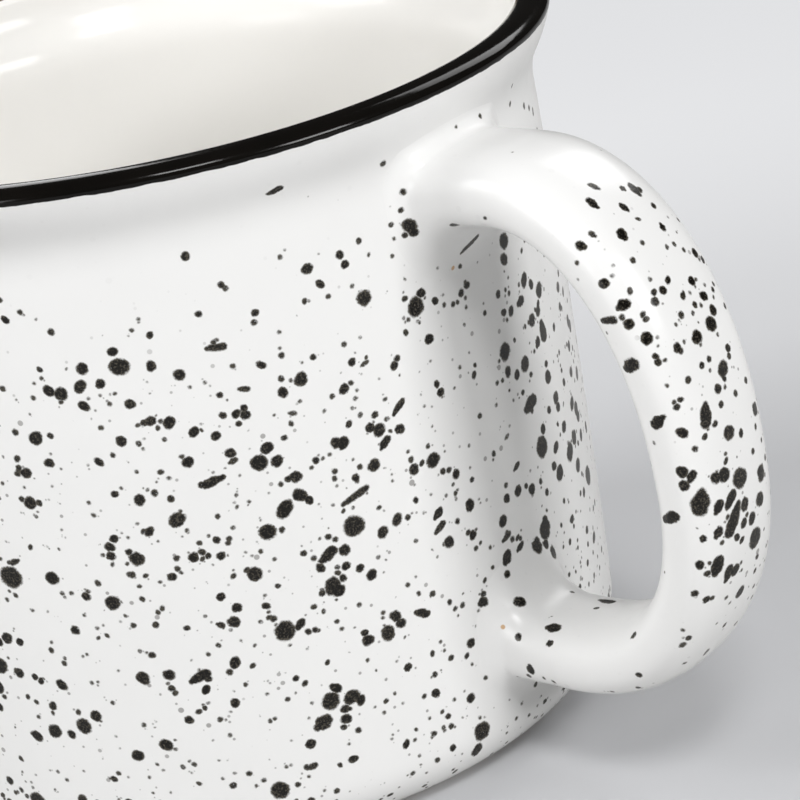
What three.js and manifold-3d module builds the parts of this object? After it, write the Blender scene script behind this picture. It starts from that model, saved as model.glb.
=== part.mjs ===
// Ceramic coffee mug with a flared lip and a strap handle: a stoneware cup, a handle luted on with slip at
// two joints, and the glaze coats that cover them. Millimetres, +Z up, the handle along +X.
// The origin is the middle of the footprint, handle included, at the standing plane.

import * as THREE from 'three';
import { mergeVertices } from 'three/addons/utils/BufferGeometryUtils.js';
import Module from 'manifold-3d';

// Glazed outside of the cup
const HEIGHT = 78;
const NECK_RADIUS = 42.9; // narrowest point under the lip
const NECK_DROP = 10.1; // neck below the lip's top
const LIP_OVERHANG = 3.1; // the lip's widest point beyond the neck
const LIP_HALF_WIDTH = 2; // the lip's bead is an ellipse in section
const LIP_HALF_HEIGHT = 1.2;
const WALL_SWELL = 0.3; // outward bow of the wall at mid height
const WALL_TAPER = 0.3; // the wall's foot inside the neck
const BASE_ROUNDING = 6.8;

// Wall, floor and foot
const WALL = 4;
const FLOOR = 5.5; // floor above the standing plane
const FLOOR_ROUNDING = 9;
const BARE_FOOT = 0.8; // the coat stops this far above the standing plane
const FOOT_STEP = 1.7; // bare clay between the coat's end and the foot ring
const FOOT_WIDTH = 3.5;
const FOOT_RECESS = 1.2;

// Glaze
const GLAZE = 0.4; // thickness of every coat
const SEAT = 0.05; // bond line between a coat, the slip and the clay
const BAND_INNER_ANGLE = 125; // where the dark band starts on the lip's bead, in degrees
const BAND_OUTER_ANGLE = -10; // where it ends on the outside

// Handle, glazed sizes
const STRAP_THICKNESS = 7.9;
const STRAP_WIDTH_TOP = 15.6;
const STRAP_WIDTH_LOW = 12.8;
const STRAP_SQUARENESS = 2.5; // power of the section's superellipse: 2 is an oval
const UPPER_ROOT_DROP = 11.2; // centre of the upper root below the lip's top
const LOWER_ROOT_HEIGHT = 14.2; // centre of the lower root above the standing plane
const STANDOFF = 26.7; // centre line's furthest point beyond the neck
const BELLY_HEIGHT = 35.9; // height of that point
const ROOT_STRAIGHT = 8; // straight stretch outside the wall at each root
const UPPER_BEND = { out: 0.54, along: 0.63 }; // fullness of the bends: 0 is a straight cut, 1 a corner
const LOWER_BEND = { out: 0.65, along: 0.59 };

// Slip joints
const SLIP_BED = 0.8; // layer of slip between the root and the wall
const FILLET_INSIDE = 5.2; // towards the finger gap
const FILLET_OUTSIDE = 1.6;
const FILLET_SIDE = 0.8;

// Facets
const TURNS = 36; // round the cup
const ARC_STEPS = 3; // along each curve of the cup's outline, twice that round an arc
const SECTION_STEPS = 16; // round the strap
const ROOT_STEPS = 5; // along each straight root
const BEND_STEPS = 9; // along each bend of the handle

// Finishes
const STONEWARE = { color: 0xd9cfc0, roughness: 0.85, metalness: 0 };
const SLIP = { color: 0xcfc3b2, roughness: 0.9, metalness: 0 };
const LINER_WHITE = { color: 0xf2f0ea, roughness: 0.12, metalness: 0 };
const SPECKLED_WHITE = { color: 0xe9e8e4, roughness: 0.14, metalness: 0 };
const RIM_BLACK = { color: 0x151311, roughness: 0.1, metalness: 0 };

const wasm = await Module();
wasm.setup();

// Solids and meshes

function withoutSlivers(geometry) {
  geometry.deleteAttribute('normal');
  geometry.deleteAttribute('uv');
  const merged = mergeVertices(geometry);
  const index = merged.getIndex().array;
  const kept = [];
  for (let i = 0; i < index.length; i += 3) {
    const [a, b, c] = index.slice(i, i + 3);
    if (a !== b && b !== c && c !== a) {
      kept.push(a, b, c);
    }
  }
  merged.setIndex(kept);
  return merged;
}

function solid(geometry) {
  const closed = withoutSlivers(geometry);
  const vertProperties = new Float32Array(closed.getAttribute('position').array);
  const triVerts = new Uint32Array(closed.getIndex().array);
  return new wasm.Manifold(new wasm.Mesh({ numProp: 3, vertProperties, triVerts }));
}

function surface(manifold) {
  const { vertProperties, triVerts } = manifold.getMesh();
  const geometry = new THREE.BufferGeometry();
  geometry.setAttribute('position', new THREE.BufferAttribute(vertProperties, 3));
  geometry.setIndex(new THREE.BufferAttribute(triVerts, 1));
  return geometry;
}

function revolve(profile) {
  return new THREE.LatheGeometry(profile, TURNS).rotateX(Math.PI / 2);
}

// Outline of the cup as radius and height, from the floor's centre over the lip to the bare foot,
// at a depth under the face of the glaze

const lipRadius = NECK_RADIUS + LIP_OVERHANG;
const lipCentre = new THREE.Vector2(lipRadius - LIP_HALF_WIDTH, HEIGHT - LIP_HALF_HEIGHT);
const neckHeight = HEIGHT - NECK_DROP;
const baseRadius = NECK_RADIUS - WALL_TAPER;

function lipArc(path, depth, fromDegrees, toDegrees) {
  const [from, to] = [fromDegrees, toDegrees].map(THREE.MathUtils.degToRad);
  const [halfWidth, halfHeight] = [LIP_HALF_WIDTH - depth, LIP_HALF_HEIGHT - depth];
  path.absellipse(lipCentre.x, lipCentre.y, halfWidth, halfHeight, from, to, true);
  return path;
}

function insideLine(depth) {
  const path = new THREE.Path();
  const cornerRadius = baseRadius - WALL - FLOOR_ROUNDING;
  const cornerHeight = FLOOR + FLOOR_ROUNDING;
  const neck = NECK_RADIUS - WALL + depth;
  const lip = lipCentre.x - LIP_HALF_WIDTH + depth;
  const flareMiddle = (neckHeight + lipCentre.y) / 2;
  path.moveTo(0, FLOOR - depth);
  path.lineTo(cornerRadius, FLOOR - depth);
  path.absarc(cornerRadius, cornerHeight, FLOOR_ROUNDING + depth, -Math.PI / 2, 0, false);
  path.lineTo(neck, neckHeight);
  path.bezierCurveTo(neck, flareMiddle, lip, flareMiddle, lip, lipCentre.y);
  return lipArc(path, depth, 180, BAND_INNER_ANGLE).getPoints(ARC_STEPS);
}

function bandLine(depth) {
  return lipArc(new THREE.Path(), depth, BAND_INNER_ANGLE, BAND_OUTER_ANGLE).getPoints(ARC_STEPS);
}

function outsideLine(depth) {
  const path = new THREE.Path();
  const lipEnd = lipArc(new THREE.Path(), depth, 0, BAND_OUTER_ANGLE).curves[0];
  const start = lipEnd.getPoint(1);
  const run = lipEnd.getTangent(1);
  const pull = (start.y - neckHeight) / 2;
  const neck = NECK_RADIUS - depth;
  const foot = baseRadius - depth;
  const bow = (neck + foot) / 2 + 2 * WALL_SWELL;
  const coatEnd = -Math.asin(1 - BARE_FOOT / BASE_ROUNDING);
  path.moveTo(start.x, start.y);
  path.bezierCurveTo(
    start.x + run.x * pull, start.y + run.y * pull,
    neck, neckHeight + pull,
    neck, neckHeight,
  );
  path.quadraticCurveTo(bow, (neckHeight + BASE_ROUNDING) / 2, foot, BASE_ROUNDING);
  path.absarc(baseRadius - BASE_ROUNDING, BASE_ROUNDING, BASE_ROUNDING - depth, 0, coatEnd, true);
  return path.getPoints(ARC_STEPS);
}

// Cup

const clayDepth = GLAZE + SEAT;

function cupBody() {
  const lining = insideLine(clayDepth);
  const wall = outsideLine(clayDepth);
  const skin = [...lining, ...bandLine(clayDepth).slice(1, -1), ...wall].reverse();
  const ringOutside = wall.at(-1).x - FOOT_STEP;
  const ringInside = ringOutside - FOOT_WIDTH;
  const foot = [
    new THREE.Vector2(0, FOOT_RECESS),
    new THREE.Vector2(ringInside - FOOT_RECESS, FOOT_RECESS),
    new THREE.Vector2(ringInside, 0),
    new THREE.Vector2(ringOutside, 0),
  ];
  return revolve([...foot, ...skin]);
}

// A coat that follows a stretch of the outline: its underside, then its face
function coat(line) {
  const under = line(GLAZE);
  const face = line(0).reverse();
  const startsOnAxis = under[0].x === 0;
  return revolve(startsOnAxis ? [...under, ...face] : [...under, ...face, under[0]]);
}

// The cup without its hollow, which cuts what stands on its wall
function cupCore(depth) {
  const wall = outsideLine(depth);
  const top = new THREE.Vector2(0, wall[0].y);
  const bottom = new THREE.Vector2(0, wall.at(-1).y);
  return solid(revolve([bottom, ...wall.reverse(), top]));
}

// Handle: superellipse sections on a centre line of two straight roots and two bends

const reach = NECK_RADIUS + STANDOFF;

function centreLine() {
  const upperRoot = HEIGHT - UPPER_ROOT_DROP;
  const upperStart = NECK_RADIUS + ROOT_STRAIGHT;
  const lowerEnd = baseRadius + ROOT_STRAIGHT;
  const path = new THREE.Path();
  path.moveTo(NECK_RADIUS - WALL / 2, upperRoot);
  path.lineTo(NECK_RADIUS, upperRoot);
  path.lineTo(upperStart, upperRoot);
  path.bezierCurveTo(
    THREE.MathUtils.lerp(upperStart, reach, UPPER_BEND.out), upperRoot,
    reach, THREE.MathUtils.lerp(BELLY_HEIGHT, upperRoot, UPPER_BEND.along),
    reach, BELLY_HEIGHT,
  );
  path.bezierCurveTo(
    reach, THREE.MathUtils.lerp(BELLY_HEIGHT, LOWER_ROOT_HEIGHT, LOWER_BEND.along),
    THREE.MathUtils.lerp(lowerEnd, reach, LOWER_BEND.out), LOWER_ROOT_HEIGHT,
    lowerEnd, LOWER_ROOT_HEIGHT,
  );
  path.lineTo(baseRadius, LOWER_ROOT_HEIGHT);
  path.lineTo(baseRadius - WALL / 2, LOWER_ROOT_HEIGHT);
  return path.curves;
}

// Places along the centre line, each with its share of the whole run and its distance from the wall
function placeStations() {
  const curves = centreLine();
  const steps = [1, ROOT_STEPS, BEND_STEPS, BEND_STEPS, ROOT_STEPS, 1];
  const stops = [{ point: curves[0].getPoint(0), run: curves[0].getTangent(0), travel: -WALL / 2 }];
  curves.forEach((curve, i) => {
    for (let k = 1; k <= steps[i]; k += 1) {
      const point = curve.getPoint(k / steps[i]);
      const travel = stops.at(-1).travel + point.distanceTo(stops.at(-1).point);
      stops.push({ point, run: curve.getTangent(k / steps[i]), travel });
    }
  });
  const whole = stops.at(-1).travel - WALL / 2;
  return stops.map((stop) => ({
    ...stop,
    share: THREE.MathUtils.clamp(stop.travel / whole, 0, 1),
    fromWall: Math.min(stop.travel, whole - stop.travel),
  }));
}

const stations = placeStations();

function fillet(size, fromWall) {
  const left = THREE.MathUtils.clamp(1 - fromWall / size, 0, 1);
  return size * left * left;
}

function section({ point, run, share, fromWall }, depth, filleted) {
  const grow = (size) => (filleted ? fillet(size, fromWall) : 0) - depth;
  const halfWidth = THREE.MathUtils.lerp(STRAP_WIDTH_TOP, STRAP_WIDTH_LOW, share) / 2 + grow(FILLET_SIDE);
  const outer = STRAP_THICKNESS / 2 + grow(FILLET_OUTSIDE);
  const inner = STRAP_THICKNESS / 2 + grow(FILLET_INSIDE);
  const squared = (value) => Math.sign(value) * Math.abs(value) ** (2 / STRAP_SQUARENESS);
  const ring = [];
  for (let k = 0; k < SECTION_STEPS; k += 1) {
    const angle = (2 * Math.PI * k) / SECTION_STEPS;
    const across = halfWidth * squared(Math.cos(angle));
    const outward = squared(Math.sin(angle));
    const off = outward * (outward > 0 ? outer : inner);
    ring.push(new THREE.Vector3(point.x - run.y * off, across, point.y + run.x * off));
  }
  return ring;
}

function loft(stops, depth, filleted) {
  const rings = stops.map((stop) => section(stop, depth, filleted));
  const ends = [stops[0], stops.at(-1)].map(({ point }) => new THREE.Vector3(point.x, 0, point.y));
  const corners = [...rings.flat(), ...ends];
  const lastRing = (rings.length - 1) * SECTION_STEPS;
  const [firstEnd, lastEnd] = [corners.length - 2, corners.length - 1];
  const index = [];
  for (let k = 0; k < SECTION_STEPS; k += 1) {
    const next = (k + 1) % SECTION_STEPS;
    for (let a = 0; a < lastRing; a += SECTION_STEPS) {
      const b = a + SECTION_STEPS;
      index.push(a + k, a + next, b + k, a + next, b + next, b + k);
    }
    index.push(firstEnd, next, k, lastEnd, lastRing + k, lastRing + next);
  }
  const geometry = new THREE.BufferGeometry().setFromPoints(corners);
  geometry.setIndex(index);
  return solid(geometry);
}

// Handle, its slip joints and the coats that they meet

function handleClay() {
  return loft(stations, clayDepth, false).subtract(cupCore(clayDepth - SLIP_BED));
}

function slipJoint(stops) {
  const socket = loft(stations, GLAZE, false).subtract(cupCore(GLAZE + 2 * SEAT - SLIP_BED));
  return loft(stops, clayDepth, true).subtract(socket).subtract(cupCore(GLAZE));
}

function handleGlaze() {
  const covered = loft(stations, GLAZE, true);
  return loft(stations, 0, true).subtract(covered).subtract(cupCore(GLAZE));
}

function outerGlaze() {
  const windows = loft(stations, -SEAT, true);
  return solid(coat(outsideLine)).subtract(windows);
}

// Assembly

const mug = new THREE.Group();
mug.name = 'mug';
mug.position.x = -(reach + STRAP_THICKNESS / 2 - lipRadius) / 2;

function addPiece(name, geometry, finish) {
  const mesh = new THREE.Mesh(geometry, new THREE.MeshStandardMaterial(finish));
  mesh.name = name;
  mug.add(mesh);
}

const rootStops = stations.findIndex(({ fromWall }) => fromWall >= FILLET_INSIDE) + 1;

addPiece('cup_body', cupBody(), STONEWARE);
addPiece('handle', surface(handleClay()), STONEWARE);
addPiece('upper_slip_joint', surface(slipJoint(stations.slice(0, rootStops))), SLIP);
addPiece('lower_slip_joint', surface(slipJoint(stations.slice(-rootStops))), SLIP);
addPiece('liner_glaze', coat(insideLine), LINER_WHITE);
addPiece('outer_glaze', surface(outerGlaze()), SPECKLED_WHITE);
addPiece('handle_glaze', surface(handleGlaze()), SPECKLED_WHITE);
addPiece('rim_band', coat(bandLine), RIM_BLACK);

export default mug;
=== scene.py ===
# %% [markdown]
# # A speckled ceramic mug
#
# A mug is two pieces of clay, a cup and a strap handle, stuck together with slip and covered with glaze.
# What the eye sees is almost only glaze: a plain white liner, a white coat with black speckles outside and
# a black bead on the lip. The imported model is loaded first, because every surface here is laid on it.

# %% Load the frame
import math
from bisect import bisect_left

import bmesh
import bpy
from mathutils import Matrix, Vector
from mathutils.bvhtree import BVHTree
from mathutils.geometry import interpolate_bezier
from mathutils.kdtree import KDTree


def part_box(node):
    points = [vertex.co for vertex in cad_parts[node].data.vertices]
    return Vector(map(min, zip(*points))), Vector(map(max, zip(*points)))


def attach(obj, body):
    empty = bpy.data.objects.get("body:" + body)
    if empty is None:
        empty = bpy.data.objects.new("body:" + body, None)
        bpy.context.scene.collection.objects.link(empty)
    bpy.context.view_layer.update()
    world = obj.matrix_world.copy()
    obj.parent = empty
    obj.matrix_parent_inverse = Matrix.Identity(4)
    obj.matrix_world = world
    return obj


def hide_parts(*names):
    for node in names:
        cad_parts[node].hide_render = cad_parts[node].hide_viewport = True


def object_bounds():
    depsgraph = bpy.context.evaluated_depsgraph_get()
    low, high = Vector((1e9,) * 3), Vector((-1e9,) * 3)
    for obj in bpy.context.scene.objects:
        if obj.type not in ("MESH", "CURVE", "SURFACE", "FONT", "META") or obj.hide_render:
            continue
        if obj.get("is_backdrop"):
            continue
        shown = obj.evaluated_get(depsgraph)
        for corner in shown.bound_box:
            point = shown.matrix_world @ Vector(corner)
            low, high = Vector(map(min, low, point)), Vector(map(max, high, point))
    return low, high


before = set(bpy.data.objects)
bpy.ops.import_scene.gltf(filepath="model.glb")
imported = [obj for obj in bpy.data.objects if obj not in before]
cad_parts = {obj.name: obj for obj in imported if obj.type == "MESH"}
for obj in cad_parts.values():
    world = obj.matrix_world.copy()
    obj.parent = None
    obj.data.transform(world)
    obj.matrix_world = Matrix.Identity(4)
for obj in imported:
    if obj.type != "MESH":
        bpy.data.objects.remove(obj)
cad_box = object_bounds()
MM = 0.001


def in_mm(*lengths):
    return [round(length / MM, 2) for length in lengths]


print("frame:", len(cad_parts), "nodes,", in_mm(*(cad_box[1] - cad_box[0])), "mm")

# %% [markdown]
# ## The camera
#
# The photograph is a close view from above, in front of the handle's side, with the mug tipped in the
# frame. A tipped picture is a roll of the camera about its own axis, so the mug itself stands upright. The
# distance matters as much as the angle: the camera is near, so the rim is drawn larger than the base. The
# same camera can be asked backwards where a pixel of the photograph lies on the mug, which the speckles use
# later.

# %% Place the camera
PICTURE = 800
FOCAL_PIXELS = 2800
CAMERA_PLACE = Vector((206.9, -204.7, 152.6)) * MM
CAMERA_AZIMUTH = 43
CAMERA_TILT = 21.93
CAMERA_ROLL = -10.62
CAMERA_NEAREST = 1 * MM


def camera_turn():
    azimuth = Matrix.Rotation(math.radians(CAMERA_AZIMUTH), 4, "Z")
    tilt = Matrix.Rotation(math.radians(90 - CAMERA_TILT), 4, "X")
    roll = Matrix.Rotation(math.radians(CAMERA_ROLL), 4, "Z")
    return azimuth @ tilt @ roll


camera = bpy.data.objects.new("camera", bpy.data.cameras.new("camera"))
camera.data.lens = camera.data.sensor_width * FOCAL_PIXELS / PICTURE
camera.data.clip_start = CAMERA_NEAREST
camera.matrix_world = Matrix.Translation(CAMERA_PLACE) @ camera_turn()
bpy.context.scene.collection.objects.link(camera)
bpy.context.scene.camera = camera
print("camera: lens", camera.data.lens, "mm")

# %% Between pixels and places


def pixel_ray(x, y):
    """Direction from the camera through a pixel, as long as it takes to go one metre deep."""
    middle = PICTURE / 2
    return camera_turn().to_3x3() @ Vector(((x - middle) / FOCAL_PIXELS, (middle - y) / FOCAL_PIXELS, -1))


def pixel_of(place):
    seen = camera_turn().inverted() @ (place - CAMERA_PLACE)
    scale = FOCAL_PIXELS / -seen.z
    return PICTURE / 2 + seen.x * scale, PICTURE / 2 - seen.y * scale


def depth_of(place):
    return (place - CAMERA_PLACE).dot(pixel_ray(PICTURE / 2, PICTURE / 2))


print("camera: the origin lies at pixel", [round(pixel) for pixel in pixel_of(Vector())])

# %% [markdown]
# ## Node trees as Python expressions
#
# Node trees built in a script soon turn into long lists of links. One small class holds a socket and gives
# it Python's operators, so that `1 - mask * 0.5` adds the two Math nodes by itself. Every other kind of
# node comes from one method, which takes the node's type, its settings and what goes into its sockets.

# %% A wire in a node tree


class Wire:
    """An output socket that Python's operators can work on."""

    def __init__(self, tree, socket):
        self.tree = tree
        self.socket = socket

    @classmethod
    def node(cls, tree, kind, settings=None, sockets=None, out=0):
        made = tree.nodes.new(kind)
        for name, value in (settings or {}).items():
            setattr(made, name, value)
        for key, value in (sockets or {}).items():
            plug(tree, made.inputs[key], value)
        return cls(tree, made.outputs[out])

    def work(self, operation, left, right):
        sides = [side.socket.type for side in (left, right) if isinstance(side, Wire)]
        kind = "ShaderNodeVectorMath" if {"VECTOR", "RGBA"} & set(sides) else "ShaderNodeMath"
        return Wire.node(self.tree, kind, {"operation": operation}, {0: left, 1: right})

    def __add__(self, other):
        return self.work("ADD", self, other)

    def __radd__(self, other):
        return self.work("ADD", other, self)

    def __sub__(self, other):
        return self.work("SUBTRACT", self, other)

    def __rsub__(self, other):
        return self.work("SUBTRACT", other, self)

    def __mul__(self, other):
        return self.work("MULTIPLY", self, other)

    def __rmul__(self, other):
        return self.work("MULTIPLY", other, self)

    def __truediv__(self, other):
        return self.work("DIVIDE", self, other)

    def most(self, other):
        return self.work("MAXIMUM", self, other)

    def least(self, other):
        return self.work("MINIMUM", self, other)


def plug(tree, socket, value):
    if isinstance(value, Wire):
        tree.links.new(value.socket, socket)
    elif socket.type == "VECTOR" and isinstance(value, (int, float)):
        socket.default_value = (value, value, value)
    else:
        socket.default_value = value


print("wires: sockets that can be added, subtracted, multiplied, divided and compared")

# %% [markdown]
# ## The cup's outline
#
# Everything round about the cup is one outline turned on the wheel. It runs from the middle of the floor up
# the inside, over the lip's bead and down the outside to the bare foot. Its sizes come from the frame, or
# are the potter's few numbers: neck, lip, wall, roundings. It could be drawn as a curve object by hand, but
# lines, arcs and curves worked out from those numbers stay true when one of them changes. They are sampled
# here much finer than in the frame.

# %% Sizes of the cup
rim_low, rim_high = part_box("rim_band")
AXIS = Vector(((rim_low.x + rim_high.x) / 2, 0, 0))
HEIGHT = rim_high.z
LIP_RADIUS = (rim_high.x - rim_low.x) / 2
LIP_OVERHANG = 3.1 * MM
LIP_HALF_WIDTH = 2 * MM
LIP_HALF_HEIGHT = 1.2 * MM
NECK_DROP = 10.1 * MM
WALL_SWELL = 0.3 * MM
WALL_TAPER = 0.3 * MM
BASE_ROUNDING = 6.8 * MM
WALL = 4 * MM
FLOOR = 5.5 * MM
FLOOR_ROUNDING = 9 * MM
BARE_FOOT = 0.8 * MM
FOOT_STEP = 1.7 * MM
FOOT_WIDTH = 3.5 * MM
FOOT_RECESS = 1.2 * MM
GLAZE = 0.4 * MM
SEAT = 0.05 * MM
BAND_INNER_ANGLE = 125
BAND_OUTER_ANGLE = -10

neck_radius = LIP_RADIUS - LIP_OVERHANG
base_radius = neck_radius - WALL_TAPER
neck_height = HEIGHT - NECK_DROP
lip_centre = Vector((LIP_RADIUS - LIP_HALF_WIDTH, HEIGHT - LIP_HALF_HEIGHT))
print("cup: axis, lip radius and height", in_mm(AXIS.x, LIP_RADIUS, HEIGHT), "mm")

# %% Curves of the outline
# A cubic curve whose two handles lie this far towards one corner is the plain bow of that corner.
CORNER_PULL = 2 / 3


def line(start, end, steps):
    return [start.lerp(end, k / steps) for k in range(steps + 1)]


def arc(centre, half_width, half_height, start, end, steps):
    angles = [math.radians(start + (end - start) * k / steps) for k in range(steps + 1)]
    return [centre + Vector((half_width * math.cos(a), half_height * math.sin(a))) for a in angles]


def bezier(start, first, second, end, steps):
    corners = [corner.to_3d() for corner in (start, first, second, end)]
    return [point.to_2d() for point in interpolate_bezier(*corners, steps + 1)]


def lip_arc(depth, start, end, steps):
    return arc(lip_centre, LIP_HALF_WIDTH - depth, LIP_HALF_HEIGHT - depth, start, end, steps)


def chain(*runs):
    joined = list(runs[0])
    for run in runs[1:]:
        joined += run[1:]
    return joined


print("lip: a bead of", in_mm(2 * LIP_HALF_WIDTH, 2 * LIP_HALF_HEIGHT), "mm round", in_mm(*lip_centre))

# %% Inside, band and outside of the cup
STEPS = {
    "floor": 24, "floor bend": 16, "inner wall": 48, "flare": 14, "lip": 6, "band": 32,
    "outer wall": 80, "base": 12, "foot ring": 6, "foot chamfer": 4, "underside": 16,
}


def inside_line(depth):
    corner = Vector((base_radius - WALL - FLOOR_ROUNDING, FLOOR + FLOOR_ROUNDING))
    rounding = FLOOR_ROUNDING + depth
    neck = Vector((neck_radius - WALL + depth, neck_height))
    lip = Vector((lip_centre.x - LIP_HALF_WIDTH + depth, lip_centre.y))
    middle = (neck_height + lip_centre.y) / 2
    floor = line(Vector((0, FLOOR - depth)), corner + Vector((0, -rounding)), STEPS["floor"])
    bend = arc(corner, rounding, rounding, -90, 0, STEPS["floor bend"])
    wall = line(bend[-1], neck, STEPS["inner wall"])
    flare = bezier(neck, Vector((neck.x, middle)), Vector((lip.x, middle)), lip, STEPS["flare"])
    return chain(floor, bend, wall, flare, lip_arc(depth, 180, BAND_INNER_ANGLE, STEPS["lip"]))


def band_line(depth):
    return lip_arc(depth, BAND_INNER_ANGLE, BAND_OUTER_ANGLE, STEPS["band"])


def outside_line(depth):
    start = lip_arc(depth, 0, BAND_OUTER_ANGLE, 1)[-1]
    end_angle = math.radians(BAND_OUTER_ANGLE)
    run = Vector((
        (LIP_HALF_WIDTH - depth) * math.sin(end_angle),
        -(LIP_HALF_HEIGHT - depth) * math.cos(end_angle),
    )).normalized()
    pull = (start.y - neck_height) / 2
    neck = Vector((neck_radius - depth, neck_height))
    foot = Vector((base_radius - depth, BASE_ROUNDING))
    bow = Vector(((neck.x + foot.x) / 2 + 2 * WALL_SWELL, (neck.y + foot.y) / 2))
    coat_end = -math.degrees(math.asin(1 - BARE_FOOT / BASE_ROUNDING))
    corner = Vector((base_radius - BASE_ROUNDING, BASE_ROUNDING))
    rounding = BASE_ROUNDING - depth
    under_lip = bezier(start, start + run * pull, neck + Vector((0, pull)), neck, STEPS["flare"])
    handles = [end.lerp(bow, CORNER_PULL) for end in (neck, foot)]
    wall = bezier(neck, *handles, foot, STEPS["outer wall"])
    return chain(under_lip, wall, arc(corner, rounding, rounding, 0, coat_end, STEPS["base"]))


print("outline:", len(inside_line(0)), "+", len(band_line(0)), "+", len(outside_line(0)), "points")

# %% [markdown]
# ## The potter's wheel
#
# Turning an outline is a rule, so it is a Geometry Nodes tree: a flat grid whose columns are the turns and
# whose rows are the outline's points. Each vertex looks up its outline point by index and is swung round
# the axis by its column. Merging by distance closes the seam and the pole in the floor's middle. The Screw
# modifier would turn it too, but needs a second object to mark the cup's axis. A thin coat is turned as one
# skin and given its thickness by Solidify, which also closes its edges. Those edges are then marked sharp,
# or the shading would round them off.

# %% The wheel as a node tree
SEAM = 0.001 * MM


def new_tree(name, inputs):
    tree = bpy.data.node_groups.new(name, "GeometryNodeTree")
    sockets = {}
    for title, kind in inputs:
        sockets[title] = tree.interface.new_socket(title, in_out="INPUT", socket_type=kind).identifier
    tree.interface.new_socket("Geometry", in_out="OUTPUT", socket_type="NodeSocketGeometry")
    entry = tree.nodes.new("NodeGroupInput")
    wires = {title: Wire(tree, entry.outputs[title]) for title, _ in inputs}
    return tree, sockets, wires


def end_tree(tree, geometry, material):
    realized = Wire.node(tree, "GeometryNodeRealizeInstances", {}, {"Geometry": geometry})
    dressed = Wire.node(tree, "GeometryNodeSetMaterial", {}, {"Geometry": realized, "Material": material})
    exit_node = tree.nodes.new("NodeGroupOutput")
    plug(tree, exit_node.inputs["Geometry"], dressed)


def wheel_tree():
    tree, sockets, wires = new_tree("wheel", [
        ("Outline", "NodeSocketGeometry"),
        ("Turns", "NodeSocketInt"),
        ("Axis", "NodeSocketVector"),
        ("Material", "NodeSocketMaterial"),
    ])
    outline, turns = wires["Outline"], wires["Turns"]
    rows = Wire.node(tree, "GeometryNodeAttributeDomainSize", {"component": "MESH"}, {"Geometry": outline})
    grid = Wire.node(tree, "GeometryNodeMeshGrid", {}, {"Vertices X": turns + 1, "Vertices Y": rows})
    index = Wire.node(tree, "GeometryNodeInputIndex")
    place = Wire.node(tree, "GeometryNodeInputPosition")
    column = Wire.node(tree, "ShaderNodeMath", {"operation": "FLOOR"}, {0: index / rows})
    row = Wire.node(tree, "ShaderNodeMath", {"operation": "MODULO"}, {0: index, 1: rows})
    point = Wire.node(
        tree, "GeometryNodeSampleIndex", {"data_type": "FLOAT_VECTOR"},
        {"Geometry": outline, "Value": place, "Index": row},
    )
    swung = Wire.node(
        tree, "ShaderNodeVectorRotate", {"rotation_type": "Z_AXIS"},
        {"Vector": point, "Angle": column / turns * -math.tau},
    )
    turned = Wire.node(
        tree, "GeometryNodeSetPosition", {}, {"Geometry": grid, "Position": swung + wires["Axis"]},
    )
    closed = Wire.node(tree, "GeometryNodeMergeByDistance", {}, {"Geometry": turned, "Distance": SEAM})
    smooth = Wire.node(tree, "GeometryNodeSetShadeSmooth", {}, {"Geometry": closed})
    end_tree(tree, smooth, wires["Material"])
    return tree, sockets


wheel, wheel_inputs = wheel_tree()
print("wheel:", len(wheel.nodes), "nodes")

# %% Meshes from modifiers


def new_object(name, mesh):
    made = bpy.data.objects.new(name, mesh)
    bpy.context.scene.collection.objects.link(made)
    return made


def settle(made):
    """Replaces the object's mesh by its evaluated one, and drops the modifiers that made it."""
    depsgraph = bpy.context.evaluated_depsgraph_get()
    mesh = bpy.data.meshes.new_from_object(made.evaluated_get(depsgraph), depsgraph=depsgraph)
    made.modifiers.clear()
    old = made.data
    made.data = mesh
    mesh.name = made.name
    bpy.data.meshes.remove(old)
    return made


def run_tree(made, tree, inputs, values):
    modifier = made.modifiers.new(tree.name, "NODES")
    for title, value in values.items():
        modifier[inputs[title]] = value
    modifier.node_group = tree
    return settle(made)


# %% Turn, thicken and measure a piece
COAT_EDGE = 40


def turn(name, outline, turns, material):
    mesh = bpy.data.meshes.new(name)
    mesh.from_pydata([(p.x, 0, p.y) for p in outline], [(k, k + 1) for k in range(len(outline) - 1)], [])
    values = {"Turns": turns, "Axis": AXIS, "Material": material}
    return run_tree(new_object(name, mesh), wheel, wheel_inputs, values)


def thicken(made, thickness):
    solidify = made.modifiers.new("coat", "SOLIDIFY")
    solidify.thickness = thickness
    solidify.offset = -1
    solidify.use_even_offset = True
    settle(made).data.set_sharp_from_angle(angle=math.radians(COAT_EDGE))
    return made


def report(made):
    bm = bmesh.new()
    bm.from_mesh(made.data)
    size = bm.calc_volume(signed=True) / MM**3
    open_edges = sum(not edge.is_manifold for edge in bm.edges)
    bm.free()
    print(made.name, len(made.data.polygons), "faces,", round(size, 1), "mm3,", open_edges, "open edges")


print("coats: edges over", COAT_EDGE, "degrees are sharp")

# %% [markdown]
# ## Finishes
#
# The liner and the rim are plain gloss glazes: the fun is in how little they vary. A dipped glaze is never
# dead flat, so slow waves and fine ripples bend its reflections, and where it thins over the lip's edge a
# brown fringe shows. Clay is dull and grainy, with the fine rings that the wheel left. Pictures could give
# all this, but noise on the object's own coordinates needs no unwrapping and has no seams.

# %% Shader helpers
# Noise lies evenly round this value.
MIDDLE = 0.5


def open_material(material):
    """Turns a material's nodes on and hands out its tree, its shader and the object's coordinates."""
    material.use_nodes = True
    tree = material.node_tree
    return tree, tree.nodes["Principled BSDF"], Wire.node(tree, "ShaderNodeTexCoord", out="Object")


def noise(tree, place, size, detail=2):
    """Noise whose lumps are about as large as size."""
    return Wire.node(tree, "ShaderNodeTexNoise", {}, {"Vector": place, "Scale": 1 / size, "Detail": detail})


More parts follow.
